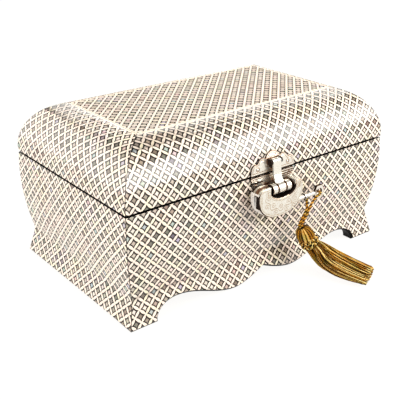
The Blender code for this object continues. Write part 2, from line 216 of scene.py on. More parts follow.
def through(points, count):
    """Evenly spaced points on a smooth curve through the given ones."""
    knots = [Vector(point) for point in points]
    padded = [2 * knots[0] - knots[1]] + knots + [2 * knots[-1] - knots[-2]]
    dense = []
    steps = 20
    for index in range(len(knots) - 1):
        before, start, end, after = padded[index:index + 4]
        for step in range(steps):
            t = step / steps
            dense.append(
                0.5 * (
                    2 * start
                    + (end - before) * t
                    + (2 * before - 5 * start + 4 * end - after) * t ** 2
                    + (3 * start - before - 3 * end + after) * t ** 3
                )
            )
    dense.append(knots[-1])
    runs = [0.0]
    for first, second in zip(dense, dense[1:]):
        runs.append(runs[-1] + (second - first).length)
    evened = []
    index = 0
    for step in range(count):
        target = runs[-1] * step / (count - 1)
        while index < len(runs) - 2 and runs[index + 1] < target:
            index += 1
        share = (target - runs[index]) / (runs[index + 1] - runs[index])
        evened.append(dense[index].lerp(dense[index + 1], share))
    return evened


def route_frames(route):
    """Two directions square to a route at each point, carried along it without a twist."""
    side = None
    frames = []
    for index, point in enumerate(route):
        ahead = route[min(index + 1, len(route) - 1)]
        behind = route[max(index - 1, 0)]
        along = (ahead - behind).normalized()
        if side is None:
            side = along.orthogonal().normalized()
        side = (side - along * side.dot(along)).normalized()
        frames.append((side, along.cross(side)))
    return frames


def add_thread(mesh, route, radius, sides, tone, closed=False):
    """Add one round thread to a mesh, with its tone kept on its faces."""
    layer = mesh.faces.layers.float.get("tone") or mesh.faces.layers.float.new("tone")
    rings = []
    for point, (side, up) in zip(route, route_frames(route)):
        ring = []
        for corner in range(sides):
            angle = 2 * math.pi * corner / sides
            offset = side * math.cos(angle) + up * math.sin(angle)
            ring.append(mesh.verts.new(point + offset * radius))
        rings.append(ring)
    pairs = list(zip(rings, rings[1:]))
    if closed:
        pairs.append((rings[-1], rings[0]))
    made = []
    for first, second in pairs:
        for corner in range(sides):
            after = (corner + 1) % sides
            corners = (first[corner], first[after], second[after], second[corner])
            made.append(mesh.faces.new(corners))
    if not closed:
        made.append(mesh.faces.new(rings[0][::-1]))
        made.append(mesh.faces.new(rings[-1]))
    for face in made:
        face[layer] = tone
        face.smooth = True


def place_mesh(name, mesh, material):
    """Turn a bmesh into a piece that rides on the box."""
    data = bpy.data.meshes.new(name)
    mesh.to_mesh(data)
    mesh.free()
    data.materials.append(material)
    piece = bpy.data.objects.new(name, data)
    bpy.context.collection.objects.link(piece)
    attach(piece, "root")
    return piece


def from_middle(point):
    """A point given from the middle of the box, in the part's own frame."""
    return Vector((point[0], point[1] + box_y, point[2]))


head_rings = [
    ((0.0252, -0.0931, 0.0419), 0.0024, 0.0024),
    ((0.0262, -0.0932, 0.0400), 0.0052, 0.0052),
    ((0.0278, -0.0934, 0.0370), 0.0068, 0.0068),
    ((0.0296, -0.0937, 0.0337), 0.0070, 0.0070),
    ((0.0311, -0.0941, 0.0309), 0.0065, 0.0065),
    ((0.0326, -0.0945, 0.0285), 0.0070, 0.0070),
    ((0.0342, -0.0951, 0.0261), 0.0073, 0.0072),
    ((0.0357, -0.0958, 0.0240), 0.0068, 0.0066),
]
leg_middles = [
    (0.0242, -0.0941, 0.0477),
    (0.0257, -0.0946, 0.0508),
    (0.0277, -0.0949, 0.0546),
    (0.0297, -0.0950, 0.0588),
]
loop_points = [
    (0.0312, -0.0916, 0.0609),
    (0.0340, -0.0888, 0.0619),
    (0.0378, -0.0869, 0.0629),
    (0.0415, -0.0856, 0.0642),
    (0.0448, -0.0869, 0.0655),
    (0.0462, -0.0895, 0.0663),
    (0.0452, -0.0926, 0.0666),
    (0.0420, -0.0946, 0.0665),
    (0.0382, -0.0954, 0.0662),
    (0.0348, -0.0957, 0.0643),
    (0.0323, -0.0958, 0.0619),
]
cord_diameter = 0.002
thread_gap = 0.00045
cord_lead = 0.0026
leg_offset = Vector((0.0009, -0.0007, 0.0003))
head_top = Vector(head_rings[0][0])
head_axis = (Vector(head_rings[1][0]) - head_top).normalized()
leg_starts = [head_top - head_axis * thread_gap, head_top - head_axis * cord_lead]
legs = leg_starts + [Vector(point) for point in leg_middles]
end_offset = leg_offset - head_axis * leg_offset.dot(head_axis)
end_offset *= leg_offset.length / end_offset.length
offsets = [end_offset, end_offset] + [leg_offset] * len(leg_middles)
left_leg = [middle - offset for middle, offset in zip(legs, offsets)]
right_leg = [middle + offset for middle, offset in zip(legs, offsets)]
cord_route = left_leg + [Vector(point) for point in loop_points] + right_leg[::-1]
route_points = 40
cord_line = through([from_middle(point) for point in cord_route], route_points)
cord_length = sum((b - a).length for a, b in zip(cord_line, cord_line[1:]))

ply_radius = cord_diameter * 0.34
ply_offset = cord_diameter * 0.22
ply_pitch = 0.0034
ply_sides = 8
ply_points = 360
fine_line = through(cord_line, ply_points)
cord_mesh = bmesh.new()
for ply, ply_tone in enumerate((0.3, 0.8)):
    strand = []
    for index, (point, (side, up)) in enumerate(zip(fine_line, route_frames(fine_line))):
        angle = 2 * math.pi * (cord_length * index / (ply_points - 1) / ply_pitch + ply / 2)
        strand.append(point + (side * math.cos(angle) + up * math.sin(angle)) * ply_offset)
    add_thread(cord_mesh, strand, ply_radius, ply_sides, ply_tone)
cord = place_mesh("silk_cord", cord_mesh, silk)
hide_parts("cord")


# The tassel's head is a ball of silk laid over a core in bundles from top to bottom, and under
# it two rows of plaited cord bind the neck.
def ring_at(rings, share):
    """Centre, half width, half height and axis of a soft piece at a share of its length."""
    place = share * (len(rings) - 1)
    low = min(int(place), len(rings) - 2)
    part = place - low
    first, second = rings[low], rings[low + 1]
    centre = Vector(first[0]).lerp(Vector(second[0]), part)
    before = Vector(rings[max(low - 1, 0)][0])
    after = Vector(rings[min(low + 2, len(rings) - 1)][0])
    start_axis = Vector(second[0]) - before
    end_axis = after - Vector(first[0])
    axis = start_axis.lerp(end_axis, part).normalized()
    sizes = [a + (b - a) * part for a, b in zip(first[1:], second[1:])]
    return centre, sizes[0], sizes[1], axis


def on_ring(rings, share, angle, scale=1.0, proud=0.0):
    """A point on a soft piece's skin, scaled in towards its line or standing proud of it."""
    centre, wide, high, axis = ring_at(rings, share)
    across = axis.cross(Vector((0, 0, 1))).normalized()
    up = across.cross(axis)
    outward = across * math.cos(angle) * wide + up * math.sin(angle) * high
    return from_middle(centre + outward * scale + outward.normalized() * proud)


random.seed(7)
bundles = 15
threads_in_bundle = 6
thread_sides = 5
head_thread_radius = 0.00027
bundle_steps = 14
bundle_fade_steps = 10
bundle_end = 0.56
bundle_spread = 0.94
bundle_swell = 0.0008
bundle_sink = 0.0009
head_mesh = bmesh.new()
for bundle in range(bundles):
    bundle_tone = random.uniform(0.3, 0.95)
    for thread in range(threads_in_bundle):
        place = (thread + 0.5) / threads_in_bundle - 0.5
        angle = 2 * math.pi * (bundle + 0.5 + place * bundle_spread) / bundles
        crown = math.cos(place * math.pi)
        route = []
        for step in range(bundle_steps + 1):
            share = step / bundle_steps * bundle_end
            fade = math.sin(math.pi * min(step / bundle_fade_steps, 1.0) / 2)
            proud = (bundle_swell * crown - bundle_sink) * fade
            route.append(on_ring(head_rings, share, angle, 1.0, proud))
        # Threads along each bundle's crown are painted lighter and those at its sides, down in the
        # grooves between bundles, darker: a painted highlight and painted shade on top of each
        # bundle's own tone.
        tone = bundle_tone + 0.7 * crown - 0.55 + random.uniform(-0.15, 0.15)
        add_thread(head_mesh, route, head_thread_radius, thread_sides, tone)

core_steps = 15
core_sides = 24
core_depth = 0.0012
core_rings = []
for step in range(core_steps + 1):
    ring = []
    for side in range(core_sides):
        angle = math.pi * 2 * side / core_sides
        point = on_ring(head_rings, step / core_steps, angle, 1.0, -core_depth)
        ring.append(head_mesh.verts.new(point))
    core_rings.append(ring)
core_faces = []
for first, second in zip(core_rings, core_rings[1:]):
    for side in range(core_sides):
        after = (side + 1) % core_sides
        corners = (first[side], first[after], second[after], second[side])
        core_faces.append(head_mesh.faces.new(corners))
core_faces.append(head_mesh.faces.new(core_rings[0][::-1]))
core_faces.append(head_mesh.faces.new(core_rings[-1]))
# The core takes the darkest tone, so that it shows near black between the bundles and the plait:
# painted shade in the gaps.
tone_layer = head_mesh.faces.layers.float.get("tone")
for face in core_faces:
    face[tone_layer] = 0.0

plait_rows = (0.60, 0.82)
plait_strands = 3
plait_waves = 6
plait_wave_steps = 12
plait_width = 0.13 * 0.62
plait_rise = 0.0006
plait_sink = 0.0003
plait_thread = 0.00068
plait_sides = 6
for row in plait_rows:
    for strand in range(plait_strands):
        route = []
        steps = plait_waves * plait_wave_steps
        for step in range(steps):
            turn = 2 * math.pi * step / steps
            phase = plait_waves * turn + strand * 2 * math.pi / plait_strands
            share = row + plait_width * math.sin(phase)
            proud = plait_rise * math.cos(2 * phase) - plait_sink
            route.append(on_ring(head_rings, share, turn, 1.0, proud))
        tone = 0.1 + 0.44 * strand
        add_thread(head_mesh, route, plait_thread, plait_sides, tone, closed=True)
bmesh.ops.recalc_face_normals(head_mesh, faces=head_mesh.faces)
tassel_head = place_mesh("tassel_ball", head_mesh, silk)
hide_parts("tassel_head")


# The tassel's skirt is a sheaf of loose silk threads, cut level, that spreads as it falls and
# comes to lie on whatever the box stands on.
neck = Vector(head_rings[-1][0])
neck_axis = (neck - Vector(head_rings[-2][0])).normalized()
skirt_rings = [
    (tuple(neck + neck_axis * thread_gap), 0.0062, 0.0060),
    ((0.0392, -0.0980, 0.0197), 0.0082, 0.0078),
    ((0.0426, -0.1017, 0.0154), 0.0104, 0.0090),
    ((0.0458, -0.1080, 0.0120), 0.0122, 0.0092),
    ((0.0490, -0.1160, 0.0096), 0.0132, 0.0084),
    ((0.0524, -0.1243, 0.0080), 0.0134, 0.0073),
    ((0.0558, -0.1325, 0.0069), 0.0131, 0.0063),
    ((0.0588, -0.1392, 0.0061), 0.0127, 0.0055),
]
skirt_threads = 640
skirt_thread_radius = 0.00030
skirt_steps = 12
skirt_fill = 0.95
skirt_drift = 0.14
skirt_wave = 0.05
shortest_thread = 0.93
golden_turn = 0.61803
floor_gap = 0.0002
thread_tones = (0.0, 0.28, 0.50, 0.95)
skirt_mesh = bmesh.new()
for index in range(skirt_threads):
    angle = 2 * math.pi * index * golden_turn
    reach = math.sqrt((index + 0.5) / skirt_threads) * skirt_fill
    drift = random.uniform(-skirt_drift, skirt_drift)
    end = random.uniform(shortest_thread, 1.0)
    wave = random.uniform(0, 6.28)
    route = []
    for step in range(skirt_steps + 1):
        share = step / skirt_steps * end
        stray = drift * share + skirt_wave * math.sin(wave + share * 7)
        scale = reach * (1 + skirt_wave * math.sin(wave + share * 5))
        point = on_ring(skirt_rings, share, angle + stray, scale)
        point.z = max(point.z, skirt_thread_radius + floor_gap)
        route.append(point)
    clump = 0.5 + 0.5 * math.sin(angle * 17 + reach * 6)
    tone = 0.17 + 0.16 * clump + random.choice(thread_tones) + random.uniform(-0.05, 0.05)
    add_thread(skirt_mesh, route, skirt_thread_radius, thread_sides, tone)
tassel_skirt = place_mesh("tassel_threads", skirt_mesh, silk)
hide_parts("tassel_skirt")


# The boards are wood, covered all over with a shell inlay of interlocking circles: cream petals
# along the diagonals and dark four-pointed stars between them, under clear gloss lacquer.
petal_half_width = 0.160
petal_centre = (0.5 - (0.5 - petal_half_width) ** 2) / (2 * petal_half_width)
petal_radius = petal_centre - 0.5 + petal_half_width
node_radius = 0.15
ring_width = 0.128
ring_lean = 0.10
mitre_line = 0.0004
panel_inset = 0.033
border_width = 0.0028
border_cream = (0.90, 0.77, 0.62)
seam_z = 0.092
half_width = 0.130
half_depth = 0.0805
lid_straight = 0.0045
curve_reach = 0.036
curve_radius = 0.037
edges_below = 0.110
seam_round = 0.00012
foot_round = 0.0019
reveal = 0.0016
curve_slack = 0.002


def inlay_shader(name, coat):
    shader = Shader(
        name,
        (0.84, 0.75, 0.66),
        0.35,
        Specular_IOR_Level=0.0,
        Coat_Weight=coat,
        Coat_Roughness=0.20,
    )
    place = shader.add("ShaderNodeUVMap", {"uv_map": "inlay"}, {}, "UV")
    u = shader.add("ShaderNodeSeparateXYZ", {}, {"Vector": place}, "X")
    v = Wire(shader, u.socket.node.outputs["Y"])
    p = u + v
    q = v - u
    p_cell = p.maths("ROUND")
    q_cell = q.maths("ROUND")
    x = p - p_cell
    y = q - q_cell
    far_x = abs(x)
    far_y = abs(y)

    # How far inside a star: past the curved sides of the petals and the knots where four meet
    from_upper = (x * x + (petal_centre - far_y) ** 2) ** 0.5 - petal_radius
    from_right = (y * y + (petal_centre - far_x) ** 2) ** 0.5 - petal_radius
    from_knot = ((0.5 - far_x) ** 2 + (0.5 - far_y) ** 2) ** 0.5 - node_radius
    inside = from_upper.maths("MINIMUM", from_right).maths("MINIMUM", from_knot)

    # Each petal and each star is a piece of shell of its own, with its own tone
    along_p = far_x > far_y
    petal_p = along_p * (p.maths("FLOOR") - p_cell) + p_cell
    petal_q = (1 - along_p) * (q.maths("FLOOR") - q_cell) + q_cell
    petal_key = shader.add("ShaderNodeCombineXYZ", {}, {"X": petal_p, "Y": petal_q, "Z": along_p})
    star_key = shader.add("ShaderNodeCombineXYZ", {}, {"X": p_cell, "Y": q_cell, "Z": 7.0})
    petal_tone = shader.add("ShaderNodeTexWhiteNoise", {}, {"Vector": petal_key}, "Value")
    star_tone = shader.add("ShaderNodeTexWhiteNoise", {}, {"Vector": star_key}, "Value")
    sheen = shader.add("ShaderNodeTexNoise", {}, {"Vector": place, "Scale": 0.45, "Detail": 2.0})
    cream = shader.ramp(
        petal_tone * 0.55 + sheen * 0.75 - 0.12,
        [
            (0.0, (0.88, 0.70, 0.61)),
            (0.30, (0.89, 0.74, 0.63)),
            (0.62, (0.90, 0.78, 0.66)),
            (0.80, (0.90, 0.80, 0.58)),
            (0.88, (0.84, 0.80, 0.66)),
            (1.0, (0.80, 0.82, 0.74)),
        ],
    )
    play = shader.add("ShaderNodeTexNoise", {}, {"Vector": place, "Scale": 0.33, "Detail": 1.0})
    tint = shader.ramp(
        play * 3.0 - 1.0,
        [
            (0.0, (0.84, 0.50, 0.44)),
            (0.25, (0.86, 0.72, 0.50)),
            (0.50, (0.86, 0.76, 0.68)),
            (0.75, (0.52, 0.70, 0.50)),
            (1.0, (0.58, 0.50, 0.74)),
        ],
    )
    edge = inside.maths("MULTIPLY_ADD", 22.0, 1.0).maths("MAXIMUM", 0.0)
    petal = shader.mix(0.08, shader.mix(edge * 0.30, cream, (0.62, 0.47, 0.36)), tint)
    nacre = shader.ramp(
        star_tone,
        [
            (0.0, (0.045, 0.030, 0.019)),
            (0.12, (0.12, 0.086, 0.063)),
            (0.32, (0.31, 0.240, 0.19)),
            (0.57, (0.54, 0.44, 0.37)),
            (0.84, (0.86, 0.75, 0.66)),
            (0.90, (0.62, 0.40, 0.37)),
            (0.945, (0.34, 0.40, 0.28)),
            (0.975, (0.34, 0.44, 0.44)),
            (1.0, (0.42, 0.34, 0.46)),
        ],
    )
    nacre = shader.mix(0.18, nacre, tint)
    depth = inside - (x * ring_lean + ring_width)
    heart = (depth * 14.0).maths("MINIMUM", 1.0).maths("MAXIMUM", 0.0)
    star = shader.mix(heart, (0.008, 0.005, 0.003), nacre)
    colour = shader.mix(inside > 0.0, petal, star)

    # The film is cut along each mitre, where a thin dark line shows
    reach = shader.add("ShaderNodeUVMap", {"uv_map": "mitre"}, {}, "UV")
    near_end = shader.add("ShaderNodeSeparateXYZ", {}, {"Vector": reach}, "X")
    far_end = Wire(shader, near_end.socket.node.outputs["Y"])
    on_line = near_end.maths("MINIMUM", far_end) < mitre_line
    inset = shader.add("ShaderNodeAttribute", {"attribute_name": "inset"}, {}, "Fac")
    colour = shader.mix(inset > panel_inset - border_width / 2, colour, border_cream)
    shader.set("Base Color", shader.mix(on_line, colour, (0.06, 0.04, 0.03)))
    return shader.material


inlay = inlay_shader("shell_inlay_lacquered", 1.0)
# Near black, for the wood under the film. The bare wood is dark, and its colour is pushed to near
# black as painted shade in the seam's groove, on the rounded edges and on the boards' thickness
# under the arches.
black_lacquer_and_shade = Shader(
    "black_lacquer_and_shade",
    (0.004, 0.003, 0.002),
    0.45,
    Specular_IOR_Level=0.08,
).material


def board_inset(axis, sign, point):
    """How far a point lies inside the box's outline, on one of its four sides."""
    half = half_width if axis == 0 else half_depth
    middle = 0.0 if axis == 0 else box_y
    return half - sign * (point[axis] - middle)


def height_along(inset, z):
    """Distance from the seam to a point, measured along the outer face, downwards negative."""
    if z <= seam_z + lid_straight:
        return z - seam_z
    angle = math.atan2(z - seam_z - lid_straight, curve_reach - inset)
    return lid_straight + curve_radius * angle


def is_outer(axis, sign, face):
    """Whether a face of a board is one that the inlay covers."""
    centre = face.center
    inset = board_inset(axis, sign, centre)
    outward = face.normal[axis] * sign
    # Faces inside the seam's groove take the near-black material: painted shade in the groove.
    if abs(centre.z - seam_z) < reveal / 2:
        return False
    if centre.z < seam_z:
        return outward > 0.5
    arm = Vector((inset - curve_reach, max(centre.z - seam_z - lid_straight, 0.0)))
    return outward * -arm.x + face.normal.z * arm.y > 0 and arm.length > curve_reach - curve_slack


# Each side's axis and direction, then the film on its body board and on its lid board: the width
# and height of one star in metres, the place of one star along the board and above the seam, and
# how far the rows of stars lean.
board_sides = {"front": (1, -1), "back": (1, 1), "left": (0, -1), "right": (0, 1)}
body_film = {
    "front": (0.009363, 0.00947, -0.02175, -0.0301, 0.005),
    "left": (0.009406, 0.00982, -0.04406, -0.0309, 0.060),
}
lid_film = {
    "front": (0.009228, 0.00960, -0.01635, 0.0248, 0.015),
    "left": (0.009340, 0.00962, -0.03450, 0.0246, 0.030),
}
film_of = {"front": "front", "back": "front", "left": "left", "right": "left"}
tone_shift = 40
weld_gap = 0.00001
smooth_angle = 25


def copy_node(node, name):
    """A smooth copy of a CAD node, its loose triangles joined."""
    bpy.ops.object.select_all(action="DESELECT")
    source = bpy.data.objects[node]
    piece = bpy.data.objects.new(name, source.data.copy())
    bpy.context.collection.objects.link(piece)
    piece.data.materials.clear()
    piece.select_set(True)
    bpy.context.view_layer.objects.active = piece
    bpy.ops.object.mode_set(mode="EDIT")
    bpy.ops.mesh.select_all(action="SELECT")
    bpy.ops.mesh.remove_doubles(threshold=weld_gap)
    bpy.ops.mesh.tris_convert_to_quads()
    bpy.ops.object.mode_set(mode="OBJECT")
    bpy.ops.object.shade_smooth_by_angle(angle=math.radians(smooth_angle))
    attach(piece, "root")
    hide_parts(node)
    return piece


def lay_film(piece, film, place, turn):
    """Lay the film on a piece: place gives a point's run, rise and reach to each mitre.

    The turn sets a whole number of stars between the boards, so that each has its own tones.
    """
    pitch_run, pitch_rise, start_run, start_rise, lean = film
    pattern = piece.data.uv_layers.new(name="inlay")
    mitre = piece.data.uv_layers.new(name="mitre")
    for loop in piece.data.loops:
        run, rise, near_end, far_end = place(piece.data.vertices[loop.vertex_index].co)
        leaned = run - start_run + lean * (rise - start_rise)
        u = leaned / pitch_run + tone_shift * turn
        pattern.data[loop.index].uv = (u, (rise - start_rise) / pitch_rise)
        mitre.data[loop.index].uv = (near_end, far_end)


def round_edges(piece):
    """Round the film's level edges at the seam and the foot, with the near-black material on the
    rounds as a painted shade line.
    """
    mesh = bmesh.new()
    mesh.from_mesh(piece.data)
    at_seam = []
    at_foot = []
    for edge in mesh.edges:
        bare = [face for face in edge.link_faces if face.material_index == 1]
        if len(edge.link_faces) != 2 or len(bare) != 1:
            continue
        on_mitre = abs(bare[0].normal.x) > 0.5 and abs(bare[0].normal.y) > 0.5
        if not on_mitre and edge.verts[0].co.z < edges_below:
            (at_foot if edge.verts[0].co.z < seam_z / 2 else at_seam).append(edge)
    for edges, size in ((at_seam, seam_round), (at_foot, foot_round)):
        bmesh.ops.bevel(
            mesh,
            geom=edges,
            offset=size,
            segments=1,
            profile=0.5,
            affect="EDGES",
            material=1,
        )
    mesh.to_mesh(piece.data)
    mesh.free()


for part_name, films in (("body", body_film), ("lid", lid_film)):
    for turn, (side, (axis, sign)) in enumerate(board_sides.items()):
        board = copy_node(f"{part_name}_{side}", f"{part_name}_{side}_inlaid")
        board.data.materials.append(inlay)
        board.data.materials.append(black_lacquer_and_shade)
        for face in board.data.polygons:
            face.material_index = 0 if is_outer(axis, sign, face) else 1
        along = 1 - axis
        middle = box_y if along == 1 else 0.0
        half_run = half_depth if along == 1 else half_width

        def place(point):
            inset = board_inset(axis, sign, point)
            run = point[along] - middle
            ends = (half_run - inset + run, half_run - inset - run)
            return run, height_along(inset, point.z), *ends

        lay_film(board, films[film_of[side]], place, turn)
        depths = board.data.attributes.new("inset", "FLOAT", "POINT")
        for vertex in board.data.vertices:
            depth = board_inset(axis, sign, vertex.co) if part_name == "lid" else 0.0
            depths.data[vertex.index].value = depth
        round_edges(board)


# The lid's flat top is a panel of its own, with the same inlay. A plain cream strip covers its
# joint with the curved boards, half of it on the panel and half on them.
top_film = (0.009174, 0.00941, 0.00591, -0.00037, 0.0)
top_turn = 5
top_coat = 0.17
top_panel = copy_node("lid_top", "lid_top_inlaid")
top_panel.data.materials.append(inlay_shader("shell_inlay_rubbed", top_coat))
top_panel.data.materials.append(black_lacquer_and_shade)
cream_strip = Shader(
    "cream_shell_strip",
    border_cream,
    0.35,
    Specular_IOR_Level=0.0,
    Coat_Weight=top_coat,
    Coat_Roughness=0.20,
)
strip_place = cream_strip.add("ShaderNodeTexCoord", {}, {}, "Object")
strip_grain = cream_strip.add(
    "ShaderNodeTexNoise",
    {},
    {"Vector": strip_place, "Scale": 220.0, "Detail": 3.0},
)
cream_strip.set("Base Color", cream_strip.mix(strip_grain, (0.84, 0.69, 0.54), (0.96, 0.84, 0.70)))
top_panel.data.materials.append(cream_strip.material)
bpy.ops.object.mode_set(mode="EDIT")
bpy.ops.mesh.select_mode(type="FACE")
bpy.ops.mesh.select_all(action="DESELECT")
bpy.ops.object.mode_set(mode="OBJECT")
for face in top_panel.data.polygons:
    face.select = face.normal.z > 0.5
    face.material_index = 2 if face.select else 1
bpy.ops.object.mode_set(mode="EDIT")
bpy.ops.mesh.inset(thickness=border_width / 2, depth=0.0)
bpy.ops.object.mode_set(mode="OBJECT")
for face in top_panel.data.polygons:
    if face.select:
        face.material_index = 0


def place_on_top(point):
    return point.x, point.y - box_y, 1.0, 1.0


lay_film(top_panel, top_film, place_on_top, top_turn)


# The bottom board is plain wood, stained black and left without a film. It is let in between the
# four sides a little above the foot, so it is seen only from below.
bottom_wood = Shader("black_stained_wood", (0.03, 0.024, 0.02), 0.55)
bottom_board = bpy.data.objects["bottom_board"]
bottom_board.data.materials.clear()
bottom_board.data.materials.append(bottom_wood.material)


# The lock and its plates are nickel silver, filed and polished. Tarnish is painted into the
# engraving, and the same browns as painted shade in corners, behind each piece and along edges;
# some faces are painted pale as a highlight.
metal_nodes = (
    "lid_plate",
    "hasp_pin",
    "hasp",
    "body_plate",
    "staple_left",
    "staple_right",
    "padlock",
    "padlock_bar",
    "key",
)
# The shelter values set how strongly painted shade is laid where nearby pieces close a point in.
shelter_reach = 0.007
shelter_rays = ((0.92, 3), (0.6, 5), (0.25, 6))
shelter_lift = 0.0002
shelter_passes = 4
shelter_gain = 2.5
shelter_loss = 0.85
groove_depth = 0.00022
groove_tarnish = 0.7
rim_width = 0.0005
front_slope = -0.8


def silver_shader():
    shader = Shader("polished_nickel_silver", (0.68, 0.63, 0.57), 0.25, 0.75)
    place = shader.add("ShaderNodeTexCoord", {}, {}, "Object")
    tarnish = shader.add("ShaderNodeAttribute", {"attribute_name": "tarnish"}, {}, "Fac")
    wear = shader.add("ShaderNodeTexNoise", {}, {"Vector": place, "Scale": 700.0, "Detail": 3.0})
    cloud = shader.add("ShaderNodeTexNoise", {}, {"Vector": place, "Scale": 160.0, "Detail": 2.0})
    stain_and_painted_light = (tarnish * 1.1 + wear * 0.12 - 0.06).maths("MINIMUM", 1.0).maths("MAXIMUM", 0.0)
    warm = shader.mix(cloud, (0.81, 0.78, 0.71), (0.69, 0.65, 0.57))
    tarnish_and_shade_brown = shader.ramp(
        stain_and_painted_light,
        [
            (0.0, (0.80, 0.77, 0.67)),
            (0.22, (0.62, 0.59, 0.47)),
            (0.48, (0.40, 0.22, 0.13)),
            (0.75, (0.09, 0.036, 0.018)),
            (1.0, (0.018, 0.009, 0.006)),
        ],
    )

    # Below zero the value stands for a painted highlight: a face painted paler, less metallic and
    # rougher
    painted_highlight = (tarnish * -1.0).maths("MAXIMUM", 0.0)
    worn_and_shaded = shader.mix(stain_and_painted_light.maths("MINIMUM", 0.25) * 4.0, warm, tarnish_and_shade_brown)
    shader.set("Base Color", shader.mix(painted_highlight, worn_and_shaded, (0.92, 0.88, 0.83)))
    shader.set("Roughness", wear * 0.18 + abs(tarnish) * 0.3 + 0.18)
    shader.set("Metallic", 0.78 - painted_highlight * 0.6)
    return shader.material


silver = silver_shader()


def tree_of(nodes):
    """A search tree over several CAD nodes, all of them in the part's own frame."""
    points = []
    faces = []
    for node in nodes:
        data = bpy.data.objects[node].data
        first = len(points)
        points.extend(vertex.co.copy() for vertex in data.vertices)
        faces.extend([first + corner for corner in face.vertices] for face in data.polygons)
    return BVHTree.FromPolygons(points, faces)


around_lock = tree_of((*metal_nodes, "body_front", "lid_front"))
fan = []
for height, count in shelter_rays:
    for step in range(count):
        turn = 2 * math.pi * (step + height) / count
        across = math.sqrt(1 - height * height)
        fan.append(Vector((across * math.cos(turn), across * math.sin(turn), height)))


def shelter(point, normal):
    """Share of the directions over a point that something close by blocks."""
    turn = normal.to_track_quat("Z", "Y")
    start = point + normal * shelter_lift
    hits = [around_lock.ray_cast(start, turn @ ray, shelter_reach)[0] for ray in fan]
    return sum(hit is not None for hit in hits) / len(fan)


def near_points(points):
    """A search tree over points of the front, by x and z."""
    tree = KDTree(len(points))
    for index, (x, z) in enumerate(points):
        tree.insert((x, 0.0, z), index)
    tree.balance()
    return tree


def front_rim(piece):
    """Points along the edges where a piece's front faces end."""
    data = piece.data
    owners = {}
    for face in data.polygons:
        for key in face.edge_keys:
            owners.setdefault(key, []).append(face.normal.y < front_slope)
    rim = []
    for key, fronts in owners.items():
        if len(set(fronts)) == 2:
            first, second = (data.vertices[index].co for index in key)
            middle = (first + second) / 2
            rim.append((middle.x, middle.z))
    return rim


def even_out(data, values, passes):
    """Average a value per vertex with its neighbours, a few times over."""
    edges = [tuple(edge.vertices) for edge in data.edges]
    for _ in range(passes):
        totals = list(values)
        counts = [1] * len(values)
        for first, second in edges:
            totals[first] += values[second]
            totals[second] += values[first]
            counts[first] += 1
            counts[second] += 1
        values = [total / count for total, count in zip(totals, counts)]
    return values


def finish_metal(node, voxel, relief, marks_at):
    """Copy a CAD node as polished metal. Relief, tarnish, painted shade and painted highlight are
    given for a point on it; painted shade is also added where nearby pieces close it in.
    """
    metal = copy_node(node, f"{node}_polished")
    evened = metal.modifiers.new("evened", "REMESH")
    evened.mode = "VOXEL"
    evened.voxel_size = voxel
    evened.use_smooth_shade = True
    bpy.ops.object.modifier_apply(modifier=evened.name)
    rim = near_points(front_rim(metal))
    stain_and_painted_light = metal.data.attributes.new("tarnish", "FLOAT", "POINT")
    vertices = metal.data.vertices
    sheltered = [shelter(vertex.co, vertex.normal) for vertex in vertices]
    sheltered = even_out(metal.data, sheltered, shelter_passes)
    cuts = []
    for vertex, covered in zip(vertices, sheltered):
        point = vertex.co.copy()
        from_rim = rim.find((point.x, 0.0, point.z))[2]
        cut = relief(point, vertex.normal, from_rim)
        share = marks_at(point, vertex.normal, from_rim)
        if share >= 0:
            # Painted shade goes where nearby pieces block most directions, over the tarnish and
            # painted light given for the point.
            share = max(covered * shelter_gain - shelter_loss, share, cut * groove_tarnish)
        stain_and_painted_light.data[vertex.index].value = min(share, 1.0)
        cuts.append(cut)
    for vertex, cut in zip(vertices, cuts):
        if cut:
            vertex.co.y += cut * groove_depth
    metal.data.materials.append(silver)
    return metal


def line_cut(distance, half_width):
    """Depth share of a groove at a distance from its middle."""
    return max(1 - (distance / half_width) ** 2, 0.0)


def no_relief(point, normal, from_rim):
    """A plain surface."""
    return 0.0


def rim_shade(from_rim, strength):
    """Painted shade that thins out from the edge of a piece's front inwards: a dark outline along
    the edge.
    """
    return max(strength * (1 - from_rim / rim_width), 0.0)


def in_range(value, low, high):
    """Whether a value lies between two others."""
    return low < value < high


# The padlock's front is engraved with a vine whose shoots curl to either side, and the field
# between them is punched with fine dots. Its left end has a dark slot where the bar springs out.
padlock_voxel = 0.00028
vine_middle = (0.0, 0.0815)
vine_reach = 0.0158
vine_start = 188
vine_sweep = 164
vine_wave = 0.0012
vine_bends = 9
vine_steps = 300
curls_start = 196
curls_sweep = 148
curl_offset = 0.0022
curl_radius = 0.0021
curl_end = 0.0002
curl_half_turns = 3.0
curl_steps = 90
hatch_corner = (0.0148, 0.0790)
hatch_lines = 5
hatch_pitch = 0.0013
hatch_height = 0.0055
hatch_steps = 40
dots_tried = 420
dots_reach = 0.021
dots_heights = (0.0605, 0.0790)
dots_from_curl = 0.0025


def round_from(x, z, reach, angle):
    """The point of the front that lies a way off another, at an angle from the x axis."""
    return x + reach * math.cos(angle), z + reach * math.sin(angle)


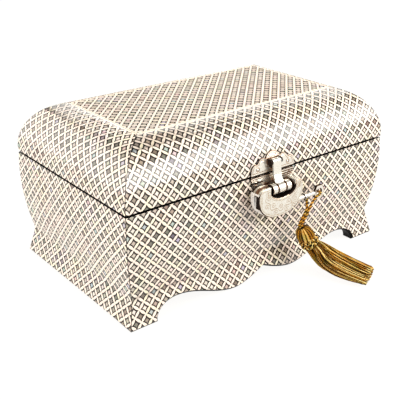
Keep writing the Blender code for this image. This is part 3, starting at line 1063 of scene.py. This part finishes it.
engraved = []
for step in range(vine_steps):
    angle = math.radians(vine_start + vine_sweep * step / vine_steps)
    wave = vine_wave * math.sin(step / vine_steps * vine_bends * math.pi)
    engraved.append(round_from(*vine_middle, vine_reach + wave, angle))
curls = []
for index in range(vine_bends):
    angle = math.radians(curls_start + curls_sweep * index / (vine_bends - 1))
    hand = 1 if index % 2 else -1
    curl = round_from(*vine_middle, vine_reach + hand * curl_offset, angle)
    curls.append(curl)
    for step in range(curl_steps):
        share = step / curl_steps
        turn = angle + hand * (math.pi / 2 + share * curl_half_turns * math.pi)
        radius = curl_radius * (1 - share) ** 0.9 + curl_end
        engraved.append(round_from(*curl, radius, turn))
for line in range(hatch_lines):
    x = hatch_corner[0] + hatch_pitch * line
    for step in range(hatch_steps):
        engraved.append((x, hatch_corner[1] + hatch_height * step / hatch_steps))
for _ in range(dots_tried):
    x = random.uniform(-dots_reach, dots_reach)
    z = random.uniform(*dots_heights)
    if min(math.hypot(x - curl_x, z - curl_z) for curl_x, curl_z in curls) > dots_from_curl:
        engraved.append((x, z))
engraved_tree = near_points(engraved)

engraved_slope = -0.7
engraved_half = 0.00030
engraved_depth = 0.7
engraved_inset = 0.0006
edge_line_depth = 0.6
edge_line_inset = 0.0013
edge_line_half = 0.00030


def padlock_relief(point, normal, from_rim):
    if normal.y > engraved_slope or from_rim < engraved_inset:
        return 0.0
    apart = engraved_tree.find((point.x, 0.0, point.z))[2]
    engraving = engraved_depth * line_cut(apart, engraved_half)
    edge_line = edge_line_depth * line_cut(from_rim - edge_line_inset, edge_line_half)
    return max(engraving, edge_line)


painted_highlight_face = -0.9
slot_depths = (-0.0880, -0.0822)
slot_heights = (0.0700, 0.0818)
corner_depth = -0.0860
corner_heights = (0.0620, 0.0830)
corner_shade = 0.95
arm_end = -0.010
arm_back = -0.0778
arm_depth = 0.0099
arm_shadow_bands = ((0.25, 0.95), (0.45, 0.1), (0.8, 0.6), (math.inf, 0.15))
lip_end = -0.016
padlock_rim_shade = 0.6
throat_half_width = 0.0128
throat_bottom = 0.0735


def padlock_slot_and_painted_light(point, normal, from_rim):
    if normal.x < -0.2 and in_range(point.y, *slot_depths) and in_range(point.z, *slot_heights):
        return 1.0
    # The rounded corner between the left end and the front is painted dark: a painted shade line
    # on the bevel.
    on_corner = normal.x < -0.3 and normal.y < -0.3 and point.y < corner_depth
    if on_corner and in_range(point.z, *corner_heights):
        return corner_shade
    # The left arm's top is painted in bands by depth: a painted shadow of the plate along the
    # back, then pale and copper bands of painted reflection.
    if normal.z > 0.5 and point.x < arm_end:
        depth = (arm_back - point.y) / arm_depth
        return next(share for band_end, share in arm_shadow_bands if depth < band_end)
    # The back of the left end and the left half's side faces are painted pale: a painted
    # highlight.
    if point.x < lip_end and point.y > slot_depths[1]:
        return painted_highlight_face
    if normal.y < -0.5:
        return rim_shade(from_rim, padlock_rim_shade)
    # The throat under the bar is painted fully dark: painted shade.
    if abs(point.x) < throat_half_width and point.z > throat_bottom:
        return 1.0
    if normal.y < 0.5 and point.x < 0.0:
        return painted_highlight_face
    return 0.0


finish_metal("padlock", padlock_voxel, padlock_relief, padlock_slot_and_painted_light)


# The two plates are sawn from sheet in the shape of clouds, with lines cut along the edge. They
# are fixed with small domed nails, and tarnish stays in a ring round each nail.
nails = {
    "lid_plate": ((-0.0133, 0.0971), (0.0173, 0.0971)),
    "body_plate": ((-0.0150, 0.0870), (0.0190, 0.0870)),
}
nail_radius = 0.0010
nail_rise = 0.8
nail_ring = 0.0007
nail_ring_depth = 0.9
plate_voxel = 0.00028
plate_line_depth = 0.8
plate_line_inset = 0.0016
plate_line_half = 0.00035
plate_shade = 0.95
lid_rim_shade = 0.9
body_rim_shade = 1.1
ears_start = -0.0768
wing_start = 0.0080
ribs_bottom = 0.0860
ribs_turn = 3600
shade_heights = (0.0862, 0.0874)


def plate_relief(node):
    def relief(point, normal, from_rim):
        if normal.y > engraved_slope:
            return 0.0
        for x, z in nails[node]:
            apart = math.hypot(point.x - x, point.z - z)
            if apart < nail_radius:
                return -nail_rise * (1 - (apart / nail_radius) ** 2)
            if apart < nail_radius + nail_ring:
                return nail_ring_depth
        return plate_line_depth * line_cut(from_rim - plate_line_inset, plate_line_half)

    return relief


def lid_plate_shade(point, normal, from_rim):
    if normal.y < -0.5 and point.y > ears_start:
        return rim_shade(from_rim, lid_rim_shade)
    # The plate's sides and back, and the ears that stand proud, are painted dark: painted shade.
    return plate_shade


def body_plate_ribs_and_shade(point, normal, from_rim):
    # The plate's sides and back are painted dark: painted shade.
    if normal.y > -0.5:
        return plate_shade
    if point.x > wing_start and point.z > ribs_bottom:
        return max(0.45 + 0.5 * math.sin(point.z * ribs_turn), 0.0)
    # A painted shadow of the padlock's left arm lies in a band on the plate just above the arm.
    if point.x < -wing_start and in_range(point.z, *shade_heights):
        return plate_shade
    return rim_shade(from_rim, body_rim_shade)


for node, marks_at in (("lid_plate", lid_plate_shade), ("body_plate", body_plate_ribs_and_shade)):
    finish_metal(node, plate_voxel, plate_relief(node), marks_at)


# The hasp and the staples are filed round, with dark joints where their barrels meet on the bar.
# The hasp hangs from the lid's plate on a pin, painted dark all over as shade.
joint_half = 0.00085
joint_tarnish = 1.3
barrel_top = 0.0862
barrel_voxel = 0.00022
barrel_ends = {
    "hasp": (-0.00195, 0.00595),
    "staple_left": (-0.00775, -0.00225),
    "staple_right": (0.00625, 0.01175),
}
even_tarnish_and_shade = {"padlock_bar": 0.35, "hasp_pin": 0.85}


def barrel_tarnish(node):
    def marks_at(point, normal, from_rim):
        if point.z > barrel_top:
            return 0.0
        apart = min(abs(point.x - end) for end in barrel_ends[node])
        return max(joint_tarnish - apart / joint_half, 0.0)

    return marks_at


for node in barrel_ends:
    finish_metal(node, barrel_voxel, no_relief, barrel_tarnish(node))
for node in even_tarnish_and_shade:
    finish_metal(node, barrel_voxel, no_relief, lambda *place: even_tarnish_and_shade[node])


# The key is turned in the same silver, and its flat bow is pierced for the cord. Dark lines run
# round its collar, and the shank between collar and bow swells a little.
key_voxel = 0.0002
collar_lines = ((0.0283, 0.0291), (0.0301, 0.0306))
bow_start = 0.0400
bow_rim_shade = 1.1
shank_ends = (0.0303, 0.0402)
shank_swell = 1.32


def key_lines_and_shade(point, normal, from_rim):
    if any(in_range(point.x, *line) for line in collar_lines):
        return 1.0
    # The bow's edge is painted dark: a painted shade outline.
    if point.x > bow_start:
        return rim_shade(from_rim, bow_rim_shade)
    return 0.0


key = finish_metal("key", key_voxel, no_relief, key_lines_and_shade)
key_low, key_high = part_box("key")
key_middle = (key_low + key_high) / 2
for vertex in key.data.vertices:
    if in_range(vertex.co.x, *shank_ends):
        vertex.co.y = key_middle.y + (vertex.co.y - key_middle.y) * shank_swell
        vertex.co.z = key_middle.z + (vertex.co.z - key_middle.z) * shank_swell


# The studio is a white floor that runs out of view in a pale room. Six large soft lights stand
# round the box, and the metal and the lacquer mirror them.
floor_size = 8
lamp_colour = (1.0, 0.975, 0.94)
lamp_aim = Vector((0, 0, 0.06))
bpy.ops.mesh.primitive_plane_add(size=floor_size)
floor = bpy.context.object
floor.name = "studio_floor"
floor_paint = Shader(
    "white_floor",
    (0.10, 0.10, 0.10),
    0.8,
    Specular_IOR_Level=0.0,
    Emission_Color=(1.0, 0.99, 0.97),
    Emission_Strength=0.95,
)
floor.data.materials.append(floor_paint.material)

world = bpy.data.worlds.new("studio")
bpy.context.scene.world = world
world.use_nodes = True
room = world.node_tree.nodes["Background"]
room.inputs["Color"].default_value = (1.0, 0.99, 0.97, 1.0)
room.inputs["Strength"].default_value = 0.30


def soft_light(name, azimuth, elevation, distance, wide, tall, power):
    """A soft light aimed at the box; azimuth 0 is in front of it, towards -Y."""
    turn, rise = math.radians(azimuth), math.radians(elevation)
    direction = Vector(
        (
            math.sin(turn) * math.cos(rise),
            -math.cos(turn) * math.cos(rise),
            math.sin(rise),
        )
    )
    bpy.ops.object.light_add(type="AREA", location=lamp_aim + direction * distance)
    light = bpy.context.object
    light.name = name
    light.data.shape = "RECTANGLE"
    light.data.size = wide
    light.data.size_y = tall
    light.data.energy = power
    light.data.color = lamp_colour
    light.rotation_euler = direction.to_track_quat("Z", "Y").to_euler()


soft_light("front_right_softbox", 38, 28, 1.2, 0.8, 0.7, 16.5)
soft_light("left_softbox", -92, 12, 1.4, 1.0, 1.0, 12.5)
soft_light("back_left_softbox", -138, 15, 1.4, 1.4, 0.9, 10)
soft_light("back_card", 142, 16, 2.5, 2.4, 1.2, 20)
soft_light("right_softbox", 95, 12, 1.6, 1.2, 0.8, 7)
soft_light("top_softbox", -20, 80, 1.8, 1.5, 1.5, 15.5)

bpy.context.scene.view_settings.view_transform = "Standard"
